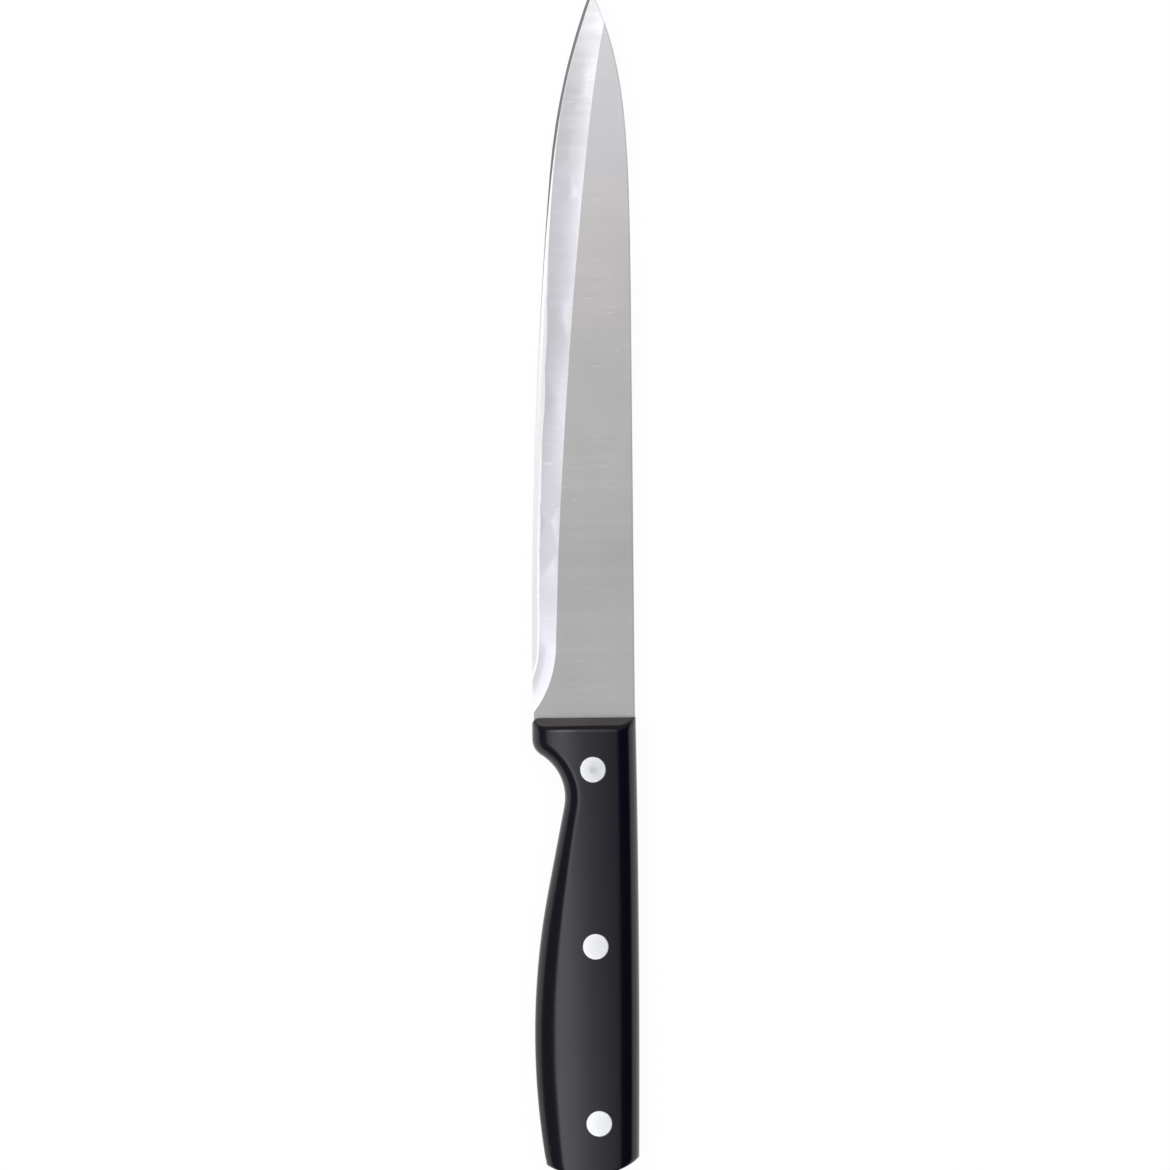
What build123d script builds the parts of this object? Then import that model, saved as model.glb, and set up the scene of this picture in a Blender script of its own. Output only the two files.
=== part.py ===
from build123d import *
from math import acos, asin, atan2, degrees, sqrt
import os

# A carving knife lying on its side: tip towards +Y, cutting edge towards -X, spine towards +X.
# It lies on the right side of its handle at Z = 0, so the left side faces up.
# The blade and its full tang are one ground steel blank, held between two moulded scales by three
# cutler's rivets, each a male half pressed into a female half.
# All sizes are in millimetres.

# Whole knife
blade_length = 200.0
handle_length = 126.0
knife_height = 28.8
handle_thickness = 16.0

# Steel blank
stock_thickness = 1.8
tip_thickness = 1.3
spine_step = 0.55
tip_drop = 10.2
spine_curve_shares = (0.505, 0.80, 0.89)
edge_step = 0.2
heel_length = 12.0
heel_inset = 0.35
edge_radius = 1550.0
edge_turn = 137.0

# Hollow ground bevel and cutting edge
grind_start = 20.0
bevel_width = 6.55
bevel_width_shares = (1.0, 1.08, 1.17, 1.255, 1.325, 1.39, 1.43, 1.235, 0.84)
plunge_radius = 30.0
plunge_turn = 45.0
edge_thickness = 0.1
bevel_thickness = 0.44
wheel_radius = 90.0
whetted_width = 1.4
whetted_tip_width = 0.75

# Handle outline
nose_radius = 5.0
nose_corner_radius = 2.0
throat_radius = 13.6
throat_depth = 8.85
throat_place = 21.7
throat_straight = 23.58
belly_radius = 210.0
back_radius = 4500.0
back_place = 55.0
back_corner_radius = 0.6
butt_radius = 20.8
butt_corner_radius = 1.0

# Scale form
land_half_width = 4.4
back_camber_width = 1.9
camber_radius = 45.0
nose_top_radius = 0.4
back_edge_radius = 5.5
front_bevel = 3.0
butt_edge_bevel = 0.8

# Rivets
rivet_line = 11.8
rivet_line_shares = (1.035, 1.01, 0.965)
first_rivet = 14.2
last_rivet = 14.8
head_diameter = 7.2
head_thickness = 2.2
barrel_diameter = 5.4
shank_diameter = 3.6
mouth_bevel = 0.3
rivet_names = ("front", "middle", "rear")

# Fits
head_clearance = 0.03
barrel_clearance = 0.10
press_clearance = 0.01
end_gap = 0.5
overrun = 4.0

# Places that follow from the sizes
low_x = -knife_height / 2
high_x = knife_height / 2
spine_x = high_x - spine_step
edge_x = low_x + edge_step
tip_y = (blade_length + handle_length) / 2
front_y = tip_y - blade_length
butt_y = front_y - handle_length
mid_z = handle_thickness / 2
seat_z = mid_z + stock_thickness / 2
land_low_x = high_x - rivet_line - land_half_width
land_high_x = high_x - back_edge_radius - back_camber_width
belly_edge_radius = nose_radius - nose_top_radius
rivet_spacing = (handle_length - first_rivet - last_rivet) / (len(rivet_line_shares) - 1)
rivet_places = [
    Vector(high_x - rivet_line * share, front_y - first_rivet - rivet_spacing * number)
    for number, share in enumerate(rivet_line_shares)
]
middle_plane = Plane.XY.offset(mid_z)


# Handle outline, seen from the side

nose_span = throat_radius + nose_radius
nose_run = sqrt(nose_span**2 - (nose_span - throat_depth) ** 2)
belly_span = throat_radius + belly_radius
belly_run = sqrt(belly_span**2 + throat_straight**2 - (belly_span - throat_depth) ** 2)
throat_centre = Vector(low_x + throat_depth - throat_radius, front_y - throat_place)
nose_centre = Vector(low_x + nose_radius, throat_centre.Y + nose_run)
belly_centre = Vector(low_x + belly_radius, throat_centre.Y - belly_run)
back_centre = Vector(high_x - back_radius, front_y - back_place)

to_nose = nose_centre - throat_centre
nose_angle = degrees(atan2(to_nose.Y, to_nose.X))
to_belly = belly_centre - throat_centre
throat_angle = degrees(atan2(to_belly.Y, to_belly.X) + acos(belly_span / to_belly.length))
belly_angle = degrees(asin((belly_centre.Y - butt_y + overrun) / belly_radius))
back_low_angle = -degrees(asin((back_centre.Y - butt_y + overrun) / back_radius))
back_high_angle = degrees(asin((front_y - back_centre.Y) / back_radius))

with BuildSketch() as sharp_handle:
    with BuildLine():
        nose_arc = CenterArc(nose_centre, nose_radius, 180, nose_angle)
        throat_arc = CenterArc(throat_centre, throat_radius, nose_angle, throat_angle - nose_angle)
        belly_arc = CenterArc(belly_centre, belly_radius, 180 + throat_angle, belly_angle - throat_angle)
        back_arc = CenterArc(
            back_centre, back_radius, back_low_angle, back_high_angle - back_low_angle
        )
        Line((low_x, front_y), nose_arc @ 0)
        Line(throat_arc @ 1, belly_arc @ 0)
        Line(belly_arc @ 1, back_arc @ 0)
        Line(back_arc @ 1, (low_x, front_y))
    make_face()
    with Locations((0, butt_y + handle_length / 2 + butt_radius)):
        SlotOverall(
            handle_length + 2 * butt_radius, 2 * butt_radius, rotation=90, mode=Mode.INTERSECT
        )

with BuildSketch() as rounded_handle:
    add(sharp_handle.sketch)
    corners = rounded_handle.vertices()
    fillet(corners.group_by(Axis.Y)[-1].sort_by(Axis.X)[0], nose_corner_radius)
    fillet(corners.group_by(Axis.Y)[-1].sort_by(Axis.X)[-1], back_corner_radius)
    fillet(corners.filter_by_position(Axis.Y, butt_y, butt_y + butt_radius), butt_corner_radius)


# Blade outline, seen from the side

with BuildSketch() as blank_outline:
    with BuildLine():
        edge_start = (edge_x, front_y + heel_length)
        edge_line = JernArc(edge_start, (0, 1), edge_radius, -degrees(asin(edge_turn / edge_radius)))
        tip_line = TangentArc(edge_line @ 1, (spine_x - tip_drop, tip_y), tangent=edge_line % 1)
        heel_line = TangentArc(edge_line @ 0, (edge_x + heel_inset, front_y), tangent=(0, -1))
        spine_points = [(spine_x, front_y + blade_length * share) for share in spine_curve_shares]
        spine_line = Bezier(*spine_points, tip_line @ 1)
        Polyline(
            heel_line @ 1,
            (edge_x + heel_inset, front_y - overrun),
            (spine_x, front_y - overrun),
            spine_line @ 0,
        )
    make_face()
    add(rounded_handle.sketch)


# Hollow grind of one side, as the solid that the grinding wheel takes away

whole_edge = Wire([edge_line, tip_line])
grind_start_share = (grind_start - heel_length) / whole_edge.length
station_step = (1 - grind_start_share) / (len(bevel_width_shares) - 1)


def flat_height(y):
    """Height of the blade's flat above the middle plane."""
    return (stock_thickness + (tip_thickness - stock_thickness) * (y - front_y) / blade_length) / 2


def grind_section(share, width, past=0):
    """The space over the bevel, square to the edge: up the whetted edge, the hollow and over the flat."""
    along = whole_edge % share
    across = along.cross(Vector(0, 0, 1))
    origin = whole_edge @ share + along * past + Vector(0, 0, mid_z)
    whetted = whetted_width + (whetted_tip_width - whetted_width) * share
    rise = (bevel_thickness - edge_thickness) / 2 / whetted
    top = stock_thickness + overrun
    with BuildSketch(Plane(origin, x_dir=across, z_dir=-along)) as section:
        with BuildLine():
            start = (-overrun, edge_thickness / 2 - rise * overrun)
            crest = (width, flat_height((origin + across * width).Y))
            hollow = RadiusArc((whetted, bevel_thickness / 2), crest, -wheel_radius)
            end = hollow @ 1 + (hollow % 1) * overrun
            Line(start, hollow @ 0)
            Polyline(hollow @ 1, end, (end.X, top), (-overrun, top), start)
        make_face()
    return section.sketch


grind_sections = [
    grind_section(grind_start_share + station_step * number, bevel_width * share)
    for number, share in enumerate(bevel_width_shares)
]
past_tip = station_step * whole_edge.length
grind_sections.append(grind_section(1, bevel_width * bevel_width_shares[-1], past_tip))
start_across = (whole_edge % grind_start_share).cross(Vector(0, 0, 1))
plunge_centre = whole_edge @ grind_start_share + start_across * (bevel_width - plunge_radius)
with BuildPart() as upper_grind:
    loft(grind_sections)
    revolve(grind_sections[0], axis=Axis(plunge_centre, (0, 0, -1)), revolution_arc=plunge_turn)


# Blade with its full tang

rivet_locations = [Location((place.X, place.Y, mid_z)) for place in rivet_places]
with BuildPart() as blade:
    with BuildSketch(middle_plane):
        add(blank_outline.sketch)
    extrude(amount=stock_thickness / 2, both=True)
    with BuildSketch(Plane.YZ):
        taper_end = mid_z + flat_height(tip_y + overrun)
        Polygon((front_y, seat_z), (tip_y + overrun, seat_z), (tip_y + overrun, taper_end), align=None)
    taper = extrude(amount=knife_height, both=True, mode=Mode.SUBTRACT)
    mirror(taper, about=middle_plane, mode=Mode.SUBTRACT)
    add(upper_grind.part, mode=Mode.SUBTRACT)
    mirror(upper_grind.part, about=middle_plane, mode=Mode.SUBTRACT)
    with Locations(rivet_locations):
        Hole(barrel_diameter / 2 + barrel_clearance)
blade.part.label = "blade"
os.makedirs("parts", exist_ok=True)
export_step(blade.part, "parts/blade.step")


# Left scale: the handle's whole thickness, cambered and with its long rims rounded, cut at its seat

def camber_height(run):
    """Height of the cambered face at this distance outside its flat land."""
    return handle_thickness - camber_radius + sqrt(camber_radius**2 - run**2)


far_low_x = low_x - overrun
far_high_x = high_x + overrun
with BuildPart() as scale_left:
    with BuildSketch():
        add(sharp_handle.sketch)
    extrude(amount=handle_thickness)
    with BuildSketch(Plane.XZ.offset(-front_y - overrun)):
        with BuildLine():
            low_land = (land_low_x, handle_thickness)
            high_land = (land_high_x, handle_thickness)
            low_end = (far_low_x, camber_height(land_low_x - far_low_x))
            high_end = (far_high_x, camber_height(far_high_x - land_high_x))
            TangentArc(low_land, low_end, tangent=(-1, 0))
            Line(low_land, high_land)
            TangentArc(high_land, high_end, tangent=(1, 0))
            Polyline(low_end, (far_low_x, 0), (far_high_x, 0), high_end)
        make_face()
    extrude(amount=handle_length + 2 * overrun, mode=Mode.INTERSECT)
    for side_low_x, side_high_x, radius in (
        (far_low_x, land_low_x, belly_edge_radius),
        (land_high_x, far_high_x, back_edge_radius),
    ):
        rims = scale_left.edges().filter_by(Axis.Z, reverse=True)
        rims = rims.filter_by_position(Axis.Z, seat_z, handle_thickness, (False, False))
        rims = rims.filter_by_position(Axis.X, side_low_x, side_high_x, (False, False))
        rim_low_y, rim_high_y = butt_y + butt_radius / 2, front_y - back_corner_radius
        rims = rims.filter_by_position(Axis.Y, rim_low_y, rim_high_y)
        fillet(rims, radius)
    butt_rims = scale_left.faces().filter_by(GeomType.CYLINDER).sort_by(Axis.Y)[0].edges()
    butt_rims = butt_rims.filter_by_position(Axis.Z, seat_z, handle_thickness, (False, True))
    chamfer(butt_rims.filter_by(Axis.Z, reverse=True), butt_edge_bevel)
    with BuildSketch(Plane.YZ):
        bevel_corner = (front_y + overrun, handle_thickness + overrun)
        bevel_low = (front_y + overrun, handle_thickness - front_bevel - overrun)
        bevel_high = (front_y - front_bevel - overrun, handle_thickness + overrun)
        Polygon(bevel_corner, bevel_low, bevel_high, align=None)
    extrude(amount=knife_height, both=True, mode=Mode.SUBTRACT)
    with BuildSketch(Plane.XY.offset(seat_z)):
        add(rounded_handle.sketch)
    extrude(amount=handle_thickness, mode=Mode.INTERSECT)
    with Locations([Location((place.X, place.Y, handle_thickness)) for place in rivet_places]):
        CounterBoreHole(
            barrel_diameter / 2 + barrel_clearance, head_diameter / 2 + head_clearance, head_thickness
        )
scale_left.part.label = "scale_left"
export_step(scale_left.part, "parts/scale_left.step")


# Right scale, its mirror twin

with BuildPart() as scale_right:
    mirror(scale_left.part, about=middle_plane)
scale_right.part.label = "scale_right"
export_step(scale_right.part, "parts/scale_right.step")


# Cutler's rivets: the female half from the left side, the male half from the right

inner_head_z = handle_thickness - head_thickness
for name, place in zip(rivet_names, rivet_places):
    with BuildPart() as rivet_female:
        with Locations((place.X, place.Y, inner_head_z)):
            Cylinder(
                head_diameter / 2, head_thickness, align=(Align.CENTER, Align.CENTER, Align.MIN)
            )
            Cylinder(
                barrel_diameter / 2,
                inner_head_z - head_thickness - end_gap,
                align=(Align.CENTER, Align.CENTER, Align.MAX),
            )
            Cylinder(
                shank_diameter / 2 + press_clearance,
                inner_head_z - head_thickness - end_gap,
                align=(Align.CENTER, Align.CENTER, Align.MAX),
                mode=Mode.SUBTRACT,
            )
        mouth = rivet_female.edges().group_by(Axis.Z)[0].sort_by(SortBy.RADIUS)[0]
        chamfer(mouth, mouth_bevel)
    rivet_female.part.label = f"rivet_{name}_female"
    export_step(rivet_female.part, f"parts/rivet_{name}_female.step")

    with BuildPart() as rivet_male:
        with Locations((place.X, place.Y, 0)):
            Cylinder(
                head_diameter / 2, head_thickness, align=(Align.CENTER, Align.CENTER, Align.MIN)
            )
            Cylinder(
                shank_diameter / 2, inner_head_z - end_gap, align=(Align.CENTER, Align.CENTER, Align.MIN)
            )
        chamfer(rivet_male.edges().group_by(Axis.Z)[-1], mouth_bevel)
    rivet_male.part.label = f"rivet_{name}_male"
    export_step(rivet_male.part, f"parts/rivet_{name}_male.step")
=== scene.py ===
"""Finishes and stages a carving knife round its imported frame, laid out as an add-on.

The knife lies on its right side: tip towards +Y, cutting edge towards -X, left scale facing up.
Every length is in metres. The blade is the frame's own solid in ground steel. The scales and the
rivets are made anew, with the camber and the eased rims that the moulded and riveted handle has.
"""

from math import acos, atan2, cos, pi, radians, sin, sqrt

import bmesh
import bpy
from bpy.props import FloatProperty, FloatVectorProperty, IntProperty, PointerProperty
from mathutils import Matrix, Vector


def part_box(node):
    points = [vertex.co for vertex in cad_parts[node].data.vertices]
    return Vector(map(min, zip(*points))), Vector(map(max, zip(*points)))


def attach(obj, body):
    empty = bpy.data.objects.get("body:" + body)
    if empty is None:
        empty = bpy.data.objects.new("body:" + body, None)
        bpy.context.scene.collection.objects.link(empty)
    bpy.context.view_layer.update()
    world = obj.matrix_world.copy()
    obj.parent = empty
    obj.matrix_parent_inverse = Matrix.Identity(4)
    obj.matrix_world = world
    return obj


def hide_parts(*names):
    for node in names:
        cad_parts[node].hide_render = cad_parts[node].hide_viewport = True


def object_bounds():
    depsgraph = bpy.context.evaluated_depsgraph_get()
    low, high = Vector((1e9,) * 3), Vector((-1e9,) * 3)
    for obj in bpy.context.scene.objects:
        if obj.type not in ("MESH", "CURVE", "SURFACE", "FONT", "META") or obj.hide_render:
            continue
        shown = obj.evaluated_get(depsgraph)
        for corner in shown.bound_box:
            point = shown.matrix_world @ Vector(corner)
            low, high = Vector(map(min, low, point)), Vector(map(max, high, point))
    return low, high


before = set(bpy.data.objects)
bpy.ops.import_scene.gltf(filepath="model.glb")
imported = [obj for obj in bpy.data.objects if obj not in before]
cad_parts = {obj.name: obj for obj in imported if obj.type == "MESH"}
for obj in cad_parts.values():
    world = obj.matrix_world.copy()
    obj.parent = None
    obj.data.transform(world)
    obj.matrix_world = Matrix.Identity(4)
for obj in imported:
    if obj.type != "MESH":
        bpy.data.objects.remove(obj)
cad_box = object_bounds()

bl_info = {
    "name": "Carving Knife",
    "version": (1, 0, 0),
    "blender": (4, 5, 0),
    "location": "View3D > Sidebar > Carving Knife",
    "description": "Steel, moulded and riveted finishes of a carving knife, and its studio stage",
    "category": "Object",
}

LOW, HIGH = cad_box
SCALE_LOW, SCALE_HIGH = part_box("scale_left")
MIDDLE = (LOW.z + HIGH.z) / 2
RIVETS = ("front", "middle", "rear")


def length(name, description, default, smallest=0.0):
    """A length setting in metres."""
    return FloatProperty(
        name=name, description=description, default=default, min=smallest, subtype="DISTANCE",
        unit="LENGTH", precision=5,
    )


def colour(name, description, default):
    """A colour setting, given in linear red, green and blue."""
    return FloatVectorProperty(
        name=name, description=description, default=default, size=3, min=0.0, max=1.0, subtype="COLOR"
    )


def share(name, description, default, largest=1.0):
    """A plain number setting from zero up."""
    return FloatProperty(
        name=name, description=description, default=default, min=0.0, max=largest, subtype="FACTOR"
    )


# Settings


class KNIFE_PG_steel(bpy.types.PropertyGroup):
    """Finish of the ground blade."""

    flat_colour: colour("Flat", "Steel of the blade's flats", (0.527, 0.527, 0.534))
    warm_colour: colour("Warm", "Faint warm stain on the flats", (0.545, 0.522, 0.528))
    hollow_colour: colour("Hollow", "Steel of the hollow ground bevel", (0.524, 0.522, 0.565))
    whetted_colour: colour("Whetted Edge", "Steel of the whetted cutting edge", (0.500, 0.500, 0.515))
    flat_roughness: share("Flat Roughness", "Satin finish of the flats", 0.20)
    hollow_roughness: share("Hollow Roughness", "Finish that the grinding wheel leaves", 0.15)
    whetted_roughness: share("Whetted Roughness", "Finish that the whetstone leaves", 0.24)
    metal_depth: share("Metal Depth", "Share of mirror shine", 0.88)
    whetted_height: length("Whetted Height", "Its height off the middle plane", 0.00022)
    band_spread: share("Band Spread", "How much higher the band is off the tip", 0.27)
    # Strength of the painted highlight along the burr's line
    burr_highlight: share("Burr Shine", "Shine of the line over the band", 0.30)
    # Depth of the painted shade line along the tip's cutting edge
    painted_edge_shade_depth: share("Dark Line", "How dark the tip's edge line is", 0.82)
    # Depth of the painted shade line along the spine
    spine_shade: share("Spine Shade", "How dark the line along the spine is", 0.20)
    spine_step: length("Spine Step", "How far the spine lies inside the back", 0.00055)
    tip_drop: length("Tip Drop", "How far the spine drops to the tip", 0.0102)
    line_pitch: length("Line Pitch", "Pitch of the crosswise grinding lines", 0.00045)
    line_depth: length("Line Depth", "Depth of the grinding lines", 0.0000012)
    scratch_shine: share("Scratch Shine", "Shine of the short scratches", 0.14)
    cloud_size: length("Cloud Size", "Size of the satin's clouds", 0.030)


class KNIFE_PG_scales(bpy.types.PropertyGroup):
    """Form and finish of the two moulded scales."""

    nose_radius: length("Nose Radius", "Outline radius of the nose", 0.0050)
    nose_corner: length("Nose Corner", "Outline radius of the nose's front corner", 0.0020)
    throat_radius: length("Throat Radius", "Outline radius of the finger's throat", 0.0136)
    throat_depth: length("Throat Depth", "Depth of the throat behind the nose", 0.00885)
    throat_place: length("Throat Place", "From the front to the throat's middle", 0.0217)
    throat_straight: length("Throat Straight", "Straight between throat and belly", 0.02358)
    belly_radius: length("Belly Radius", "Outline radius of the belly", 0.210)
    back_radius: length("Back Radius", "Outline radius of the back", 4.5)
    back_place: length("Back Place", "From the front to the back's top", 0.055)
    back_corner: length("Back Corner", "Outline radius of the back's front corner", 0.0006)
    butt_radius: length("Butt Radius", "Outline radius of the butt", 0.0208)
    camber_radius: length("Camber Radius", "Radius of the cambered side face", 0.050)
    crown_place: length("Crown Place", "How far the crown is off the middle", 0.0012)
    nose_rim: length("Nose Rim", "Width of the rim round the nose", 0.0036)
    throat_rim: length("Throat Rim", "Width of the rim in the throat", 0.0043)
    belly_rim: length("Belly Rim", "Width of the rim along the belly", 0.00555)
    belly_rim_height: length("Belly Rim Height", "Height of the rim on the belly side", 0.0042)
    butt_rim_height: length("Butt Rim Height", "Height of the belly rim at the butt", 0.0032)
    back_rim: length("Back Rim", "Width of the rim along the back", 0.0050)
    back_rim_height: length("Back Rim Height", "Height of the rim along the back", 0.0048)
    butt_rim: length("Butt Rim", "Radius of the rim round the butt", 0.0009)
    front_bevel: length("Front Bevel", "Width of the bevel across the front", 0.0030)
    bevel_ease: length("Bevel Ease", "How far the front bevel's edge is eased", 0.0011)
    rim_rows: IntProperty(name="Rim Rows", description="Rows of faces round a rim", default=12, min=4)
    plastic_colour: colour("Plastic", "Black of the moulded plastic", (0.0023, 0.0019, 0.0060))
    plastic_roughness: share("Plastic Roughness", "Satin finish of the plastic", 0.20)
    grain_size: length("Grain Size", "Size of the moulded grain", 0.00035)
    grain_depth: length("Grain Depth", "Depth of the moulded grain", 0.0000015)


class KNIFE_PG_rivets(bpy.types.PropertyGroup):
    """Form and finish of the three cutler's rivets."""

    head_diameter: length("Head Diameter", "Diameter of a rivet's head", 0.0072)
    head_thickness: length("Head Thickness", "Thickness of a rivet's head", 0.0022)
    head_edge: length("Head Edge", "How far the head's edge is eased", 0.00022)
    shank_diameter: length("Shank Diameter", "Diameter of a rivet's barrel", 0.0054)
    seat_gap: length("Seat Gap", "Gap round a head in its seat", 0.00003)
    metal_colour: colour("Metal", "Bright metal of the rivets", (0.90, 0.915, 0.94))
    # A painted reflection: the cool colour painted into the front heads' middle
    reflection_colour: colour("Middle", "Cooler metal in the heads' middle", (0.86, 0.915, 1.0))
    metal_depth: share("Metal Depth", "Share of mirror shine", 0.62)
    metal_roughness: share("Metal Roughness", "Finish that turning leaves", 0.40)
    ring_pitch: length("Ring Pitch", "Pitch of the faint turned rings", 0.00080)
    ring_depth: length("Ring Depth", "Depth of the faint turned rings", 0.000004)


class KNIFE_PG_stage(bpy.types.PropertyGroup):
    """Camera, floor and lights of the photograph."""

    camera_height: length("Camera Height", "Height of the camera over the knife", 2.5)
    frame_width: length("Frame Width", "Width of the view at the knife", 0.3214)
    camera_x: length("Camera X", "Where it aims, across the knife", 0.0005, -1.0)
    camera_y: length("Camera Y", "Where it aims, along the knife", -0.0006, -1.0)
    camera_roll: FloatProperty(
        name="Camera Roll", description="Turn of the camera about its view", default=radians(-0.55),
        subtype="ANGLE", unit="ROTATION",
    )
    floor_size: length("Floor Size", "Side of the square floor", 6.0)
    floor_white: share("Floor White", "How much of the floor's white is its own", 0.94)
    panel_height: length("Panel Height", "Height of the panel over the knife", 0.80)
    panel_left: length("Panel Left", "Its reach beyond the cutting edge", 0.39)
    panel_right: length("Panel Right", "Its reach beyond the spine", 0.29)
    panel_length: length("Panel Length", "Its length along the knife", 1.3)
    panel_shine: share("Panel Shine", "Brightness of the panel's left border", 2.6, 8.0)
    tip_shine: share("Tip Shine", "How much brighter it is beyond the tip", 1.55, 8.0)
    fill: share("Fill", "Brightness of the light for dull surfaces", 1.5, 8.0)
    fill_height: length("Fill Height", "Height of that light over the knife", 1.6)
    fill_size: length("Fill Size", "Side of that light", 2.4)


# Node writing


class Value:
    """A node's socket that can stand in a sum; each operator adds its Math node."""

    def __init__(self, tree, socket):
        self.tree = tree
        self.socket = socket

    def math(self, operation, first, second=None):
        """The Math node for this operation, as a new value."""
        given = {0: first} if second is None else {0: first, 1: second}
        return self.tree.node("ShaderNodeMath", {"operation": operation}, given).value(0)

    def __add__(self, other):
        return self.math("ADD", self, other)

    def __sub__(self, other):
        return self.math("SUBTRACT", self, other)

    def __mul__(self, other):
        return self.math("MULTIPLY", self, other)

    def __truediv__(self, other):
        return self.math("DIVIDE", self, other)

    def __radd__(self, other):
        return self.math("ADD", other, self)

    def __rsub__(self, other):
        return self.math("SUBTRACT", other, self)

    def __rmul__(self, other):
        return self.math("MULTIPLY", other, self)

    def __rtruediv__(self, other):
        return self.math("DIVIDE", other, self)

    def __abs__(self):
        return self.math("ABSOLUTE", self)

    def largest(self, other):
        """The larger of this and another value."""
        return self.math("MAXIMUM", self, other)

    def sine(self):
        """The sine of this value in radians."""
        return self.math("SINE", self)

    def step(self, start, end):
        """Runs smoothly from 0 at start to 1 at end."""
        return self.tree.node(
            "ShaderNodeMapRange",
            {"interpolation_type": "SMOOTHSTEP"},
            {"Value": self, "From Min": start, "From Max": end},
        ).value("Result")

    def clamped(self):
        """This value kept between 0 and 1."""
        return self.tree.node("ShaderNodeClamp", given={"Value": self}).value(0)

    def above(self, other):
        """Whether this is over another value, in Geometry Nodes."""
        settings = {"data_type": "FLOAT", "operation": "GREATER_THAN"}
        return self.tree.node("FunctionNodeCompare", settings, {0: self, 1: other}).value(0)


class Node:
    """A node whose output sockets are read as values."""

    def __init__(self, tree, made):
        self.tree = tree
        self.made = made

    def value(self, socket):
        """One output, by name or number."""
        return Value(self.tree, self.made.outputs[socket])


class Tree:
    """A node tree, written as expressions."""

    def __init__(self, tree):
        self.tree = tree

    def node(self, kind, settings=None, given=None):
        """Adds a node of this kind, sets it up, then gives its sockets their values or links."""
        made = self.tree.nodes.new(kind)
        for name, setting in (settings or {}).items():
            if name == "stops":
                self.stops(made.color_ramp, setting)
            else:
                setattr(made, name, setting)
        for name, what in (given or {}).items():
            for value in what if isinstance(what, list) else [what]:
                if isinstance(value, Value):
                    self.tree.links.new(value.socket, made.inputs[name])
                else:
                    made.inputs[name].default_value = value
        return Node(self, made)

    @staticmethod
    def stops(ramp, stops):
        """Gives a colour ramp its stops, each a place and a grey."""
        while len(ramp.elements) < len(stops):
            ramp.elements.new(1.0)
        for element, (place, grey) in zip(ramp.elements, stops):
            element.position = place
            element.color = (grey, grey, grey, 1.0)

    def axes(self, vector):
        """A vector's three parts."""
        parts = self.node("ShaderNodeSeparateXYZ", given={0: vector})
        return [parts.value(axis) for axis in "XYZ"]

    def vector(self, x=0.0, y=0.0, z=0.0):
        """A vector of three parts."""
        return self.node("ShaderNodeCombineXYZ", given={0: x, 1: y, 2: z}).value(0)


class Finish(Tree):
    """The nodes of a material, a lamp or a world."""

    def __init__(self, owner):
        owner.use_nodes = True
        super().__init__(owner.node_tree)
        self.owner = owner
        self.tree.nodes.clear()

    def point(self):
        """The point on the piece."""
        return self.node("ShaderNodeTexCoord").value("Object")

    def pattern(self, point, pitches, detail, roughness, unit=1.0):
        """Soft noise round a half, with pitches across, along and up that are counted in a unit."""
        counts = tuple(1 / (pitch * unit) for pitch in pitches)
        spot = self.node("ShaderNodeVectorMath", {"operation": "MULTIPLY"}, {0: point, 1: counts})
        given = {"Vector": spot.value(0), "Scale": 1.0, "Detail": detail, "Roughness": roughness}
        return self.node("ShaderNodeTexNoise", given=given).value("Fac")

    def blend(self, part, first, second):
        """A colour between two colours."""
        mixed = self.node("ShaderNodeMix", {"data_type": "RGBA"}, {0: part, 6: first, 7: second})
        return mixed.value(2)

    def shaded(self, tone, amount):
        """A colour made lighter or darker by an amount round 1."""
        grey = self.vector(amount, amount, amount)
        return self.node("ShaderNodeVectorMath", {"operation": "MULTIPLY"}, {0: tone, 1: grey}).value(0)

    def ramp(self, stops, place):
        """The grey of a ramp at a place."""
        return self.node("ShaderNodeValToRGB", {"stops": stops}, {"Fac": place}).value("Color")

    def bump(self, height, depth):
        """A normal raised by a height between 0 and 1 times a depth."""
        given = {"Strength": 1.0, "Distance": depth, "Height": height}
        return self.node("ShaderNodeBump", given=given).value("Normal")

    def end(self, output, shader, given):
        """Ends the tree in a shader and its owner's kind of output, and gives back the owner."""
        shown = self.node(f"ShaderNode{shader}", given=given).value(0)
        self.node(f"ShaderNodeOutput{output}", given={"Surface": shown})
        return self.owner

    def surface(self, tone, rough, normal, more):
        """Ends a material in its surface, with more sockets of the shader by their names."""
        given = {"Base Color": tone, "Roughness": rough, "Normal": normal, **more}
        return self.end("Material", "BsdfPrincipled", given)


def rgba(tone):
    """A setting's colour with its alpha."""
    return (tone[0], tone[1], tone[2], 1.0)


# Finishes

# Patterns: pitches across, along and up, then detail and roughness. The lines, the clouds and the
# grain count their pitches in a size from the settings, the others in metres.
FINE_LINES = ((60, 1, 8), 3.0, 0.6)
BROAD_LINES = ((90, 6, 40), 2.0, 0.5)
CLOUDS = ((0.6, 1, 1), 2.0, 0.55)
GRAIN = ((1, 1, 1), 2.0, 0.5)
WHEEL_MARKS = ((0.04, 0.0024, 0.05), 2.0, 0.45)
STAIN = ((0.009, 0.004, 0.02), 2.0, 0.5)
SCRATCHES = ((0.0036, 0.00042, 0.02), 1.0, 0.4)
MOULD_FLOW = ((0.012, 0.030, 0.012), 2.0, 0.5)
FLECKS = ((0.0007, 0.0007, 0.0007), 3.0, 0.6)

# Noise between which the stain and the scratches come to show
STAIN_SHOWS, SCRATCHES_SHOW = (0.52, 0.75), (0.70, 0.78)
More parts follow.
